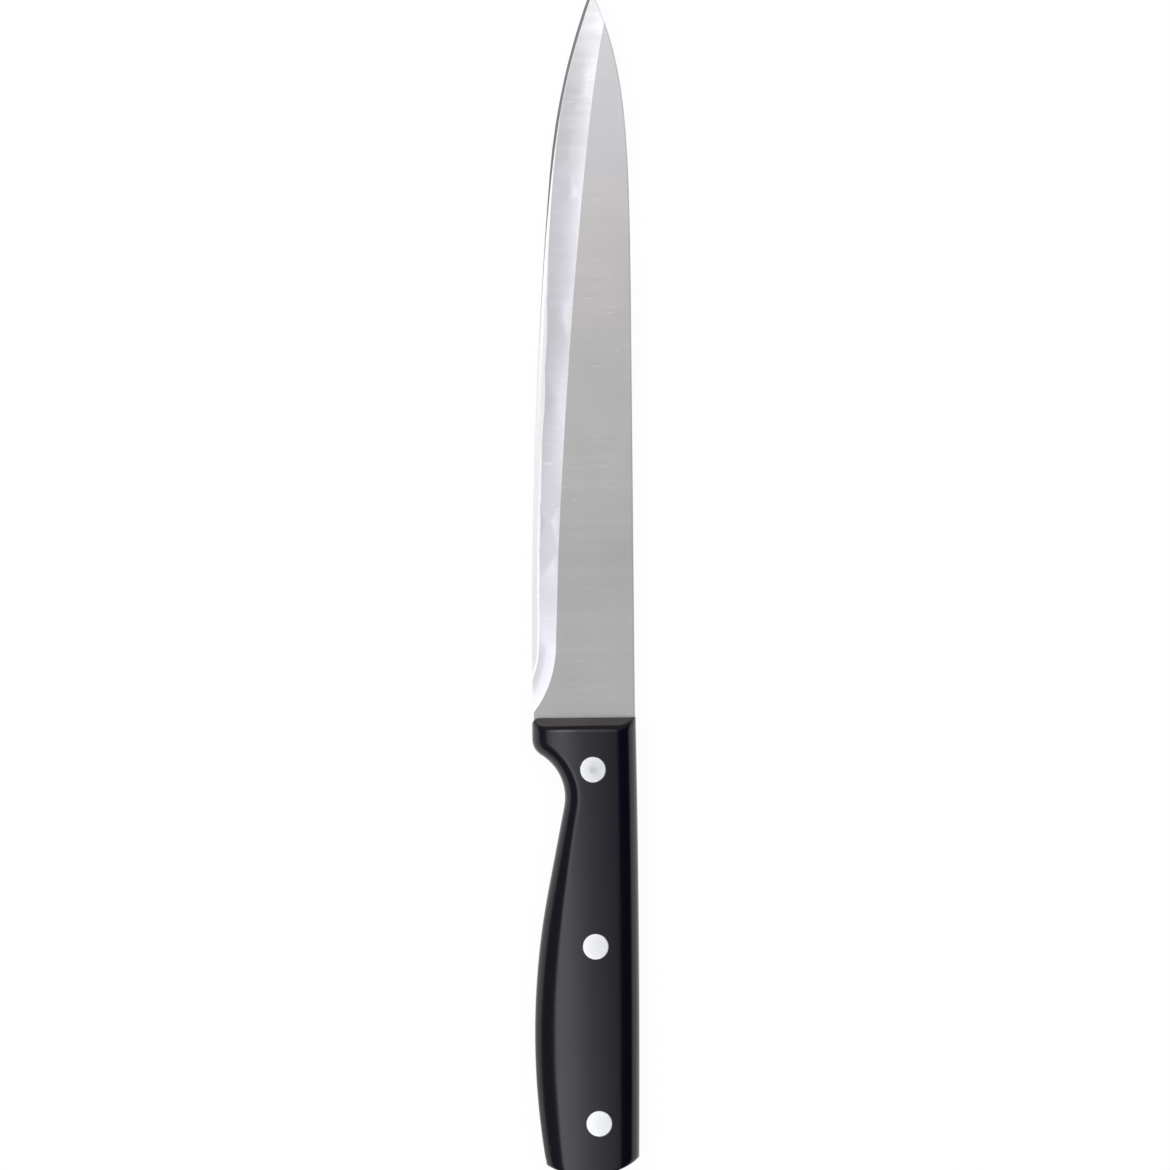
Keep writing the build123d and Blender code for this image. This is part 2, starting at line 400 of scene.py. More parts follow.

# Spans up the blade over which its look changes; the heel's and the flats' spans carry painted shade
# and painted light, the edge's spans a painted shade line
HEEL_ENDS, FLAT_PAINTED_LIGHT_SPAN, BLADE_THINS = (-0.015, 0.035), (-0.04, 0.15), (0.0, 0.12)
BAND_NARROWS, COOL_STARTS = (0.05, 0.10), (0.09, 0.14)
EDGE_SHADE_STARTS, EDGE_SHADE_WIDENS = (HIGH.y - 0.140, HIGH.y - 0.050), (HIGH.y - 0.080, HIGH.y - 0.030)
STAIN_MIDDLE, STAIN_REACH = 0.092, 0.045

# The whetted band's border, and the painted shade line's least height and its gain, as shares of the
# band's
BAND_BORDER, EDGE_SHADE_LEAST, EDGE_SHADE_GAIN = (0.96, 1.04), 0.35, 0.60
EDGE_SHADE_BORDER = 0.00002

# How upright the normal is at the hollow's border, and how far off upright where it is ground steep
HOLLOW_BORDER = (0.9994, 0.9999)
STEEP_AT_HEEL, STEEP_AT_TIP = (0.0035, 0.0095), (0.0008, 0.0042)

# How much each of these lightens or darkens the steel; all but the marks and the patterns are painted
# highlight and shade
STEEP_PAINTED_HIGHLIGHT, HEEL_PAINTED_HIGHLIGHT, HEEL_PAINTED_SHADE, HOLLOW_PAINTED_SHADE = 0.18, 0.06, 0.16, 0.09
MARKS_CONTRAST, MARKS_DIM, STEEL_CONTRAST = 0.22, 0.07, 0.10
FLAT_PAINTED_SHADE, FLAT_PAINTED_LIGHT = 0.085, 0.05

# How warm the stain is, and how far the flats and the hollow near each other's colour at the tip
STAIN_WARMTH, FLAT_COOLING, HOLLOW_GREYING = 0.7, 0.35, 0.55

# How much each pattern roughens its finish, and how much of the grinding lines is fine
LINES_ROUGH, CLOUDS_ROUGH, FLOW_ROUGH, GRAIN_ROUGH = 0.10, 0.08, 0.06, 0.04
RING_ROUGH, FLECK_ROUGH, FINE_SHARE = 0.03, 0.12, 0.6

# The spine's drop as a share of the tip's, by the share of the way from the handle to the tip
SPINE_DROPS = [
    (0.505, 0.0), (0.691, 0.0156), (0.775, 0.064), (0.822, 0.125), (0.863, 0.216), (0.900, 0.343),
    (0.935, 0.512), (0.967, 0.729), (1.0, 1.0),
]
# Border of the painted shade line along the spine
SPINE_SHADE_BORDER = (0.00018, 0.00042)

# Radii on a rivet's head, and spans up the handle, over which the turned metal changes; the middle's
# spans place a painted reflection, the front's a painted shade
REFLECTION_FADES, PALE_STARTS, PALE_FADES = (0.0002, 0.0021), (0.0023, 0.0030), (0.0032, 0.0036)
REFLECTION_STARTS, FRONT_SHADE_STARTS = (-0.105, -0.055), (-0.135, -0.060)

# How much each of these lightens or darkens the rivets; the reflection's and the front's are painted
# shade
METAL_DIM, FRONT_PAINTED_SHADE, REFLECTION_SHADE, PALE_LIFT, PALE_FADE = 0.100, 0.138, 0.19, 0.04, 0.6
RING_CONTRAST, FLECK_CONTRAST, RING_WANDER = 0.035, 0.20, 3.0

PLASTIC_CONTRAST, PLASTIC_IOR, DULL_WHITE = 0.15, 1.49, (0.9, 0.9, 0.9, 1.0)


def ground_lines(finish, steel, point):
    """The crosswise grinding lines, fine ones over broad ones."""
    fine = finish.pattern(point, *FINE_LINES, steel.line_pitch)
    broad = finish.pattern(point, *BROAD_LINES, steel.line_pitch)
    return fine * FINE_SHARE + broad * (1 - FINE_SHARE)


def spine_shade_line(finish, steel, x, y):
    """1 on the narrow painted shade line along the spine."""
    run = (y - SCALE_HIGH.y) / (HIGH.y - SCALE_HIGH.y)
    spine_x = HIGH.x - steel.spine_step - finish.ramp(SPINE_DROPS, run) * steel.tip_drop
    return 1 - (spine_x - x).step(*SPINE_SHADE_BORDER)


def whetted_edge(steel, y, height):
    """The whetted band, the painted highlight of the burr's line over it, and the painted shade line
    along the tip's cutting edge.
    """
    edge = steel.whetted_height
    border = [edge * part for part in BAND_BORDER]
    spread = (1 - y.step(*BAND_NARROWS)) * (edge * steel.band_spread)
    band = 1 - (height - spread).step(*border)
    # A painted highlight along the band's inner border, the burr's line
    painted_burr_highlight = height.step(*border) * band
    # A painted shade line along the tip's cutting edge
    painted_edge_shade_height = (y.step(*EDGE_SHADE_WIDENS) * EDGE_SHADE_GAIN + EDGE_SHADE_LEAST) * edge
    painted_edge_shade = 1 - (height - painted_edge_shade_height).step(-EDGE_SHADE_BORDER, EDGE_SHADE_BORDER)
    return band, painted_burr_highlight, painted_edge_shade * y.step(*EDGE_SHADE_STARTS) * band


def hollow_painted_highlight_and_shade(finish, point, y, upright, cool):
    """How much lighter the hollow is than its steel: painted highlight by the flat where it is steep,
    painted shade by the cutting edge and at the heel, and the wheel's marks.
    """
    thinner = y.step(*BLADE_THINS)
    start, end = [
        at_heel + thinner * (at_tip - at_heel) for at_heel, at_tip in zip(STEEP_AT_HEEL, STEEP_AT_TIP)
    ]
    steep = (1 - upright).step(start, end)
    heel = 1 - y.step(*HEEL_ENDS)
    marks = (finish.pattern(point, *WHEEL_MARKS) - 0.5) * MARKS_CONTRAST - MARKS_DIM
    # Painted highlight where the hollow is steep; painted shade over the hollow and at its heel
    painted_highlight = steep * (heel * HEEL_PAINTED_HIGHLIGHT + STEEP_PAINTED_HIGHLIGHT)
    return painted_highlight - HOLLOW_PAINTED_SHADE - heel * HEEL_PAINTED_SHADE + cool * marks


def flat_tone(finish, steel, point, y, cool):
    """The flats' steel, with a faint warm stain, cooler towards the tip, and painted light brightening
    it towards the tip.
    """
    stain = finish.pattern(point, *STAIN).step(*STAIN_SHOWS) * STAIN_WARMTH
    warm = (1 - abs(y - STAIN_MIDDLE) / STAIN_REACH).largest(stain)
    tone = finish.blend(warm, rgba(steel.flat_colour), rgba(steel.warm_colour))
    # Painted light: darker at the heel, brighter towards the tip
    tone = finish.shaded(tone, 1 - FLAT_PAINTED_SHADE + y.step(*FLAT_PAINTED_LIGHT_SPAN) * FLAT_PAINTED_LIGHT)
    return finish.blend(cool * FLAT_COOLING, tone, rgba(steel.hollow_colour))


def ground_steel(steel):
    """Satin steel with crosswise grinding lines, a hollow with painted highlight and shade, a whetted
    edge, and painted highlight and shade lines at the edge and the spine.
    """
    finish = Finish(bpy.data.materials.new("ground_steel"))
    point = finish.point()
    x, y, z = finish.axes(point)
    upright = abs(finish.axes(finish.node("ShaderNodeNewGeometry").value("Normal"))[2])
    hollow = 1 - upright.step(*HOLLOW_BORDER)
    whetted, painted_burr_highlight, painted_edge_shade = whetted_edge(steel, y, abs(z - MIDDLE))
    painted_spine_shade = spine_shade_line(finish, steel, x, y)
    lines = ground_lines(finish, steel, point)
    cloud = finish.pattern(point, *CLOUDS, steel.cloud_size)
    scratches = finish.pattern(point, *SCRATCHES).step(*SCRATCHES_SHOW)
    cool = y.step(*COOL_STARTS)

    ground = finish.blend(cool * HOLLOW_GREYING, rgba(steel.hollow_colour), rgba(steel.flat_colour))
    tone = finish.blend(hollow, flat_tone(finish, steel, point, y, cool), ground)
    # Painted highlight and shade on the hollow
    tone = finish.shaded(tone, 1 + hollow * hollow_painted_highlight_and_shade(finish, point, y, upright, cool))
    tone = finish.blend(whetted, tone, rgba(steel.whetted_colour))
    # The scratches are the steel's own marks; the burr's line is a painted highlight
    bright = scratches * steel.scratch_shine + painted_burr_highlight * steel.burr_highlight
    tone = finish.shaded(tone, 1 + (lines + cloud - 1) * STEEL_CONTRAST + bright)
    # Painted shade lines along the tip's cutting edge and along the spine
    tone = finish.shaded(tone, 1 - painted_edge_shade * steel.painted_edge_shade_depth - painted_spine_shade * steel.spine_shade)
    rough = (
        steel.flat_roughness
        + hollow * (steel.hollow_roughness - steel.flat_roughness)
        + whetted * (steel.whetted_roughness - steel.hollow_roughness)
        + (lines - 0.5) * LINES_ROUGH
        + (cloud - 0.5) * CLOUDS_ROUGH
    )
    normal = finish.bump(lines, steel.line_depth)
    return finish.surface(tone, rough, normal, {"Metallic": steel.metal_depth})


def moulded_plastic(scales):
    """Black satin plastic with the fine grain of its mould."""
    finish = Finish(bpy.data.materials.new("moulded_plastic"))
    point = finish.point()
    grain = finish.pattern(point, *GRAIN, scales.grain_size)
    flow = finish.pattern(point, *MOULD_FLOW)
    shade = 1 - PLASTIC_CONTRAST + (grain + flow) * PLASTIC_CONTRAST
    rough = scales.plastic_roughness + (flow - 0.5) * FLOW_ROUGH + (grain - 0.5) * GRAIN_ROUGH
    tone = finish.shaded(tuple(scales.plastic_colour), shade)
    return finish.surface(tone, rough, finish.bump(grain, scales.grain_depth), {"IOR": PLASTIC_IOR})


def turned_metal(rivets):
    """Bright soft metal with faint turned rings, which follow the radius stored on the heads; the front
    heads' middle has a painted cool reflection and the front rivets painted shade.
    """
    finish = Finish(bpy.data.materials.new("turned_metal"))
    point = finish.point()
    y = finish.axes(point)[1]
    reach = finish.node("ShaderNodeAttribute", {"attribute_name": "reach"}).value("Fac")
    fleck = finish.pattern(point, *FLECKS)
    ring = (reach * (2 * pi / rivets.ring_pitch) + fleck * RING_WANDER).sine()
    # A painted reflection, cool and darker, in the front heads' middle
    middle = (1 - reach.step(*REFLECTION_FADES)) * y.step(*REFLECTION_STARTS)
    paler = reach.step(*PALE_STARTS) - reach.step(*PALE_FADES) * PALE_FADE
    # Painted shade on the front rivets and in the front heads' middle
    dim = METAL_DIM + y.step(*FRONT_SHADE_STARTS) * FRONT_PAINTED_SHADE + middle * REFLECTION_SHADE - paler * PALE_LIFT
    shade = 1 - dim + ring * RING_CONTRAST + (fleck - 0.5) * FLECK_CONTRAST
    metal = finish.blend(middle, rgba(rivets.metal_colour), rgba(rivets.reflection_colour))
    rough = rivets.metal_roughness + ring * RING_ROUGH + (fleck - 0.5) * FLECK_ROUGH
    tone, normal = finish.shaded(metal, shade), finish.bump(ring * 0.5 + fleck, rivets.ring_depth)
    return finish.surface(tone, rough, normal, {"Metallic": rivets.metal_depth})


def white_floor(stage):
    """A white floor that shows white to the camera and in reflections, and keeps a soft shadow."""
    finish = Finish(bpy.data.materials.new("white_floor"))
    path = finish.node("ShaderNodeLightPath")
    seen = path.value("Is Camera Ray").largest(path.value("Is Glossy Ray"))
    seen = seen.largest(path.value("Is Transmission Ray"))
    plain = finish.node("ShaderNodeBsdfDiffuse", given={"Color": DULL_WHITE}).value(0)
    white = finish.node("ShaderNodeEmission", given={"Strength": 1.0}).value(0)
    mixed = {0: seen * stage.floor_white, 1: plain, 2: white}
    return finish.end("Material", "MixShader", mixed)


# Mesh helpers


def new_piece(name, data):
    """An object at the origin that holds this mesh, lamp or camera."""
    piece = bpy.data.objects.new(name, data)
    bpy.context.scene.collection.objects.link(piece)
    return piece


def built(points, faces):
    """A mesh with merged points and faces that point outwards."""
    mesh = bpy.data.meshes.new("built")
    mesh.from_pydata(points, [], faces)
    work = bmesh.new()
    work.from_mesh(mesh)
    bmesh.ops.remove_doubles(work, verts=work.verts, dist=1e-7)
    bmesh.ops.recalc_face_normals(work, faces=work.faces)
    work.to_mesh(mesh)
    work.free()
    return mesh


def prism(outline, low, high):
    """A closed prism that stands on an outline."""
    count = len(outline)
    spots = [(*at, z) for z in (low, high) for at in outline]
    sides = [(i, (i + 1) % count, (i + 1) % count + count, i + count) for i in range(count)]
    return built(spots, [tuple(range(count)), tuple(range(count, 2 * count)), *sides])


def shell(grid, bottom):
    """A closed mesh under a grid of points, with walls straight down to a flat bottom."""
    wide, tall = len(grid[0]), len(grid)
    spots = [spot for row in grid for spot in row]
    faces = [
        (r * wide + c, r * wide + c + 1, (r + 1) * wide + c + 1, (r + 1) * wide + c)
        for r in range(tall - 1)
        for c in range(wide - 1)
    ]
    border = list(range(wide))
    border += [r * wide + wide - 1 for r in range(1, tall)]
    border += [(tall - 1) * wide + c for c in range(wide - 2, -1, -1)]
    border += [r * wide for r in range(tall - 2, 0, -1)]
    base, count = len(spots), len(border)
    spots += [(*spots[i][:2], bottom) for i in border]
    for i in range(count):
        after = (i + 1) % count
        faces.append((border[i], border[after], base + after, base + i))
    faces.append(tuple(range(base, base + count)))
    return built(spots, faces)


def cut(mesh, cutters):
    """The mesh less each cutter, as a new plain mesh."""
    body = new_piece("cut_body", mesh)
    tools = [new_piece("cut_tool", cutter) for cutter in cutters]
    for tool in tools:
        modifier = body.modifiers.new("cut", "BOOLEAN")
        modifier.operation = "DIFFERENCE"
        modifier.solver = "EXACT"
        modifier.object = tool
    graph = bpy.context.evaluated_depsgraph_get()
    result = bpy.data.meshes.new_from_object(body.evaluated_get(graph))
    for spare in (body, *tools):
        data = spare.data
        bpy.data.objects.remove(spare)
        bpy.data.meshes.remove(data)
    return result


def turned_over(mesh):
    """The mesh's mirror twin on the other side of the middle plane."""
    twin = mesh.copy()
    work = bmesh.new()
    work.from_mesh(twin)
    for vert in work.verts:
        vert.co.z = 2 * MIDDLE - vert.co.z
    bmesh.ops.reverse_faces(work, faces=work.faces)
    work.to_mesh(twin)
    work.free()
    return twin


def smooth(mesh, angle):
    """Smooth faces with sharp edges over this angle."""
    mesh.shade_smooth()
    mesh.set_sharp_from_angle(angle=angle)


# Handle form

# Steps along each part of the outline, and across the face
BELLY_STEPS, GAP_STEPS, THROAT_STEPS, NOSE_STEPS, FRONT_STEPS, FACE_STEPS = 150, 24, 44, 22, 36, 30

# Runs of the belly side's rim: where each starts behind the handle's front, and how long it is
THROAT_WIDENS = (0.011, 0.010)
BELLY_WIDENS = (0.026, 0.034)
BELLY_SINKS = (0.048, 0.055)

# Least distances between rows, and how far the closer rows reach
BEVEL_ROW, CLOSE_ROW, WIDE_ROW = 0.0001, 0.0009, 0.0026
BEVEL_LEAD, BUTT_RUN, NOSE_RUN = 0.002, 0.004, 0.045

# How far the rows bend like the butt, and how close the first full row may follow the butt's rim
BEND_RUN, ROW_SPARE = 0.016, 0.0004

LEAST_WALL, CUTTER_REACH = 0.00002, 0.004
CORNER_STEPS, SEAT_STEPS = 16, 96
SCALE_CREASE = radians(24)


def arc(centre, radius, start, end, count):
    """Points on an arc from a start to an end angle, both included."""
    turns = [start + (end - start) * i / count for i in range(count + 1)]
    return [Vector((centre.x + radius * cos(t), centre.y + radius * sin(t))) for t in turns]


def rim_drop(radius, inset):
    """How far a round rim of this radius has dropped at this inset from the outline."""
    return radius - sqrt(max(0.0, radius**2 - (radius - min(inset, radius)) ** 2))


def eased_least(first, second, ease):
    """The lesser of two heights, with their crossing rounded over a distance."""
    part = min(1.0, max(0.0, 0.5 + 0.5 * (second - first) / ease))
    return second + (first - second) * part - ease * part * (1 - part)


class HandleForm:
    """The handle's outline and its cambered, rimmed surface, worked out from the settings."""

    def __init__(self, scales):
        self.scales = scales
        self.front_y = SCALE_HIGH.y
        nose, throat, belly = scales.nose_radius, scales.throat_radius, scales.belly_radius
        depth = scales.throat_depth
        nose_span, belly_span = throat + nose, throat + belly
        nose_run = sqrt(nose_span**2 - (nose_span - depth) ** 2)
        belly_run = sqrt(belly_span**2 + scales.throat_straight**2 - (belly_span - depth) ** 2)
        throat_y = self.front_y - scales.throat_place
        self.throat = Vector((LOW.x + depth - throat, throat_y))
        self.nose = Vector((LOW.x + nose, throat_y + nose_run))
        self.belly = Vector((LOW.x + belly, throat_y - belly_run))
        self.back = Vector((HIGH.x - scales.back_radius, self.front_y - scales.back_place))
        self.butt = Vector((0.0, SCALE_LOW.y + scales.butt_radius))

    def crossing(self, centre, radius):
        """Where the butt's arc crosses a side's arc, the lower of the two places."""
        span = self.butt - centre
        along = (radius**2 - self.scales.butt_radius**2 + span.length_squared) / (2 * span.length)
        off = sqrt(radius**2 - along**2)
        middle = centre + span.normalized() * along
        turn = Vector((-span.y, span.x)).normalized() * off
        return min((middle + turn, middle - turn), key=lambda spot: spot.y)

    def belly_side(self):
        """Points up the belly side from the butt to the front, with their inward directions."""
        scales = self.scales
        start = self.crossing(self.belly, scales.belly_radius) - self.belly
        to_nose = self.nose - self.throat
        to_belly = self.belly - self.throat
        nose_turn = atan2(to_nose.y, to_nose.x)
        tilt = acos((scales.throat_radius + scales.belly_radius) / to_belly.length)
        belly_turn = atan2(to_belly.y, to_belly.x) + tilt
        first = atan2(start.y, start.x) % (2 * pi)
        belly = arc(self.belly, scales.belly_radius, first, pi + belly_turn, BELLY_STEPS)
        throat = arc(self.throat, scales.throat_radius, belly_turn, nose_turn, THROAT_STEPS)
        nose = arc(self.nose, scales.nose_radius, pi + nose_turn, pi, NOSE_STEPS)
        corner = Vector((LOW.x, self.front_y))
        front = [nose[-1].lerp(corner, i / FRONT_STEPS) for i in range(1, FRONT_STEPS + 1)]
        gap = [belly[-1].lerp(throat[0], i / GAP_STEPS) for i in range(1, GAP_STEPS)]
        points = [*belly, *gap, *throat, *nose[1:], *front]
        inward = []
        for i in range(len(points)):
            along = points[min(i + 1, len(points) - 1)] - points[max(i - 1, 0)]
            inward.append(Vector((along.y, -along.x)).normalized())
        return points, inward

    def back_x(self, y):
        """Where the back's outline is at this height up the handle."""
        return self.back.x + sqrt(self.scales.back_radius**2 - (y - self.back.y) ** 2)

    def butt_sag(self, x):
        """How far the butt's arc has turned forwards at this place across the handle."""
        radius = self.scales.butt_radius
        return radius - sqrt(radius**2 - x**2)

    def camber(self, x):
        """Height of the cambered face."""
        radius = self.scales.camber_radius
        return HIGH.z - radius + sqrt(radius**2 - (x - self.scales.crown_place) ** 2)

    def height(self, at, drop):
        """Height of the face at a point whose rim has dropped this far, with butt and front eased."""
        scales = self.scales
        face = self.camber(at.x)
        if at.y < self.butt.y:
            drop += rim_drop(scales.butt_rim, max(0.0, scales.butt_radius - (at - self.butt).length))
        bevel = face - (at.y - self.front_y + scales.front_bevel)
        return max(eased_least(face - drop, bevel, scales.bevel_ease), SCALE_LOW.z + LEAST_WALL)

    def down(self, y, start, run):
        """How far down a run of the handle this height is, smooth at both ends."""
        part = min(1.0, max(0.0, (self.front_y - start - y) / run))
        return part * part * (3 - 2 * part)

    def left_rim(self, y):
        """The belly side's rim width, which grows from the nose to the throat and the belly."""
        scales = self.scales
        width = scales.nose_rim
        width += (scales.throat_rim - scales.nose_rim) * self.down(y, *THROAT_WIDENS)
        return width + (scales.belly_rim - scales.throat_rim) * self.down(y, *BELLY_WIDENS)

    def left_rim_height(self, y):
        """The belly side's rim height, which sinks along the belly to the butt."""
        high, low = self.scales.belly_rim_height, self.scales.butt_rim_height
        return high - (high - low) * self.down(y, *BELLY_SINKS)


def stations_up(form, scales, butt_rows):
    """The outline points that carry a row, with their inward directions, from butt to front."""
    points, inward = form.belly_side()
    kept, last, walked = [], 0.0, 0.0
    for i, point in enumerate(points):
        walked += (point - points[i - 1]).length if i else 0.0
        step = WIDE_ROW
        if point.y > form.front_y - scales.front_bevel - BEVEL_LEAD:
            step = BEVEL_ROW
        elif walked < BUTT_RUN or point.y > form.front_y - NOSE_RUN:
            step = CLOSE_ROW
        if i in (0, len(points) - 1) or walked - last >= step:
            kept.append((point, inward[i]))
            last = walked
    first, ahead = kept[0]
    early = [(first + Vector((0, run)), ahead) for run in butt_rows]
    later = [station for station in kept[1:] if station[0].y > early[-1][0].y + ROW_SPARE]
    return [kept[0], *early, *later]


def scale_mesh(scales):
    """One moulded scale, closed, with its camber, rounded rims, front bevel and rivet seats."""
    form = HandleForm(scales)
    leans = [pi / 2 * (1 - i / scales.rim_rows) for i in range(scales.rim_rows + 1)]
    insets = [1 - sin(lean) for lean in leans]
    drops = [1 - cos(lean) for lean in leans]
    stations = stations_up(form, scales, [scales.butt_rim * inset for inset in insets[2::2]])
    left_low, left_high = stations[0][0].y, stations[-1][0].y
    right_low = form.crossing(form.back, scales.back_radius).y
    grid = []
    for spot, direction in stations:
        up = spot.y - left_low
        right_y = right_low + (form.front_y - right_low) * (up / (left_high - left_low))
        bend = max(0.0, 1 - up / BEND_RUN)
        width, high = form.left_rim(spot.y), form.left_rim_height(spot.y)
        left = [spot + direction * (width * inset) for inset in insets]
        right = [Vector((form.back_x(right_y) - scales.back_rim * inset, right_y)) for inset in insets]
        inner = [left[-1].lerp(right[-1], i / FACE_STEPS) for i in range(1, FACE_STEPS)]
        row = [*left, *inner, *reversed(right)]
        low_sag, high_sag = form.butt_sag(row[0].x), form.butt_sag(row[-1].x)
        for at in row:
            across = (at.x - row[0].x) / (row[-1].x - row[0].x)
            at.y += bend * (form.butt_sag(at.x) - (low_sag + (high_sag - low_sag) * across))
        row_drops = [high * drop for drop in drops] + [0.0] * len(inner)
        row_drops += [scales.back_rim_height * drop for drop in reversed(drops)]
        grid.append([(at.x, at.y, form.height(at, drop)) for at, drop in zip(row, row_drops)])
    return cut(shell(grid, SCALE_LOW.z), scale_cutters(scales, form))


def scale_cutters(scales, form):
    """What is cut from a scale: its two front corners and its rivet seats."""
    out, front, cutters = CUTTER_REACH, form.front_y, []
    nose, back = scales.nose_corner, scales.back_corner
    nose_centre = Vector((LOW.x + nose, front - nose))
    back_centre = Vector((form.back_x(front - back) - back, front - back))
    for centre, radius, start, side in ((nose_centre, nose, pi, -1), (back_centre, back, 0.0, 1)):
        curve = arc(centre, radius, start, pi / 2, CORNER_STEPS)
        far_x, far_y = centre.x + side * (radius + out / 4), front + out / 4
        outline = [*curve, (centre.x, far_y), (far_x, far_y), (far_x, centre.y)]
        cutters.append(prism(outline, SCALE_LOW.z - out, HIGH.z + out))
    rivets = bpy.context.scene.knife_rivets
    seat, through = HIGH.z - rivets.head_thickness, SCALE_LOW.z - out
    for centre in rivet_places():
        for diameter, floor in ((rivets.head_diameter, seat), (rivets.shank_diameter, through)):
            ring = arc(centre, diameter / 2 + rivets.seat_gap, 0.0, 2 * pi, SEAT_STEPS)[:-1]
            cutters.append(prism(ring, floor, HIGH.z + out))
    return cutters


# Rivets in Geometry Nodes

HEAD_SIDES, HEAD_RINGS, SHANK_SIDES = 96, 24, 48
RIVET_CREASE = radians(40)


def rivet_places():
    """The middle of each rivet, from the front one to the rear one."""
    return [sum(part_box(f"rivet_{name}_female"), Vector((0, 0, 0))) / 2 for name in RIVETS]


def rivet_sizes():
    """The sizes that the rivet tree takes, by the names of its inputs."""
    scene = bpy.context.scene
    rivets, scales = scene.knife_rivets, scene.knife_scales
    return {
        "Head Diameter": rivets.head_diameter,
        "Head Thickness": rivets.head_thickness,
        "Head Edge": rivets.head_edge,
        "Shank Diameter": rivets.shank_diameter,
        "Shank Length": HIGH.z - rivets.head_thickness - MIDDLE - rivets.seat_gap,
        "Crown Height": HIGH.z,
        "Crown Place": scales.crown_place,
        "Camber Radius": scales.camber_radius,
    }


def rivet_tree():
    """A tree that puts a rivet half on each point and lets it follow the scales' camber."""
    group = bpy.data.node_groups.new("Rivet Halves", "GeometryNodeTree")
    face = group.interface
    face.new_socket("Places", in_out="INPUT", socket_type="NodeSocketGeometry")
    for name in rivet_sizes():
        made = face.new_socket(name, in_out="INPUT", socket_type="NodeSocketFloat")
        made.subtype = "DISTANCE"
    face.new_socket("Finish", in_out="INPUT", socket_type="NodeSocketMaterial")
    face.new_socket("Rivets", in_out="OUTPUT", socket_type="NodeSocketGeometry")
    tree = Tree(group)
    given = tree.node("NodeGroupInput")
    head_thickness, head_edge = given.value("Head Thickness"), given.value("Head Edge")
    shank_length = given.value("Shank Length")

    def cylinder(fill, sides, radius, depth, more):
        sizes = {"Vertices": sides, "Radius": radius, "Depth": depth, **more}
        return tree.node("GeometryNodeMeshCylinder", {"fill_type": fill}, sizes).value("Mesh")

    def raised(solid, high, chosen=True):
        moved = {"Geometry": solid, "Selection": chosen, "Offset": tree.vector(z=high)}
        return tree.node("GeometryNodeSetPosition", given=moved).value(0)

    head_radius = given.value("Head Diameter") * 0.5
    rings = {"Side Segments": 2, "Fill Segments": HEAD_RINGS}
    head = cylinder("TRIANGLE_FAN", HEAD_SIDES, head_radius, head_thickness, rings)
    shank_radius = given.value("Shank Diameter") * 0.5
    shank = cylinder("NGON", SHANK_SIDES, shank_radius, shank_length, {})
    head = raised(head, head_thickness * -0.5)
    shank = raised(shank, shank_length * -0.5 - head_thickness)

    x, y, z = tree.axes(tree.node("GeometryNodeInputPosition").value(0))
    flat = tree.vector(x, y)
    reach = tree.node("ShaderNodeVectorMath", {"operation": "LENGTH"}, {0: flat}).value("Value")
    stored = tree.node(
        "GeometryNodeStoreNamedAttribute",
        {"data_type": "FLOAT", "domain": "POINT"},
        {"Geometry": head, "Name": "reach", "Value": reach},
    ).value(0)
    # The head's top is eased towards its edge, and at the end it follows the camber
    away = 1.0 - ((head_radius - reach) / head_edge).clamped()
    eased = raised(stored, away * away * head_edge * -1.0, z.above(head_thickness * -0.25))
    half = tree.node("GeometryNodeJoinGeometry", given={0: [eased, shank]}).value(0)
    spots = tree.node("GeometryNodeMeshToPoints", given={"Mesh": given.value("Places")}).value(0)
    set_out = tree.node("GeometryNodeInstanceOnPoints", given={"Points": spots, "Instance": half})
    real = tree.node("GeometryNodeRealizeInstances", given={"Geometry": set_out.value(0)}).value(0)

    off_crown = x - given.value("Crown Place")
    drop = off_crown * off_crown / (given.value("Camber Radius") * -2.0)
    on_face = z.above(given.value("Crown Height") - head_thickness * 0.6)
    followed = {"Geometry": raised(real, drop, on_face), "Material": given.value("Finish")}
    finished = tree.node("GeometryNodeSetMaterial", given=followed).value(0)
    tree.node("NodeGroupOutput", given={0: finished})
    return group


def rivet_halves(finish):
    """The three rivet halves of the left side, as one plain mesh."""
    start = bpy.data.meshes.new("rivet_places")
    start.from_pydata([(spot.x, spot.y, HIGH.z) for spot in rivet_places()], [], [])
    carrier = new_piece("rivet_places", start)
    modifier = carrier.modifiers.new("Rivet Halves", "NODES")
    modifier.node_group = rivet_tree()
    values = {**rivet_sizes(), "Finish": finish}
    for item in modifier.node_group.interface.items_tree:
        if item.name in values:
            modifier[item.identifier] = values[item.name]
    graph = bpy.context.evaluated_depsgraph_get()
    mesh = bpy.data.meshes.new_from_object(carrier.evaluated_get(graph))
    carrier.modifiers.clear()
    bpy.data.objects.remove(carrier)
    bpy.data.meshes.remove(start)
    return mesh


# Stage

# Greys of the light panel from its left border to its right one, over each part of the knife
BORDER = [(0.0, 1.0), (0.05, 1.0), (0.154, 0.90)]
OVER_BUTT = [*BORDER, (0.366, 0.62), (0.574, 0.42), (0.76, 0.32), (0.888, 0.25), (1.0, 0.20)]
OVER_HANDLE = [*BORDER, (0.366, 0.56), (0.574, 0.29), (0.76, 0.22), (0.888, 0.165), (1.0, 0.13)]
OVER_BLADE = [
    (0.0, 0.58), (0.10, 0.62), (0.21, 0.66), (0.25, 0.62), (0.30, 0.50), (0.366, 0.31), (0.43, 0.265),
    (0.491, 0.24), (0.574, 0.222), (0.76, 0.21), (1.0, 0.19),
]

# Shares of the panel's length over which its greys change, and over which it brightens
HANDLE_SHOWS, BLADE_SHOWS, TIP_BRIGHTENS = (0.33, 0.39), (0.41, 0.48), (0.50, 0.78)

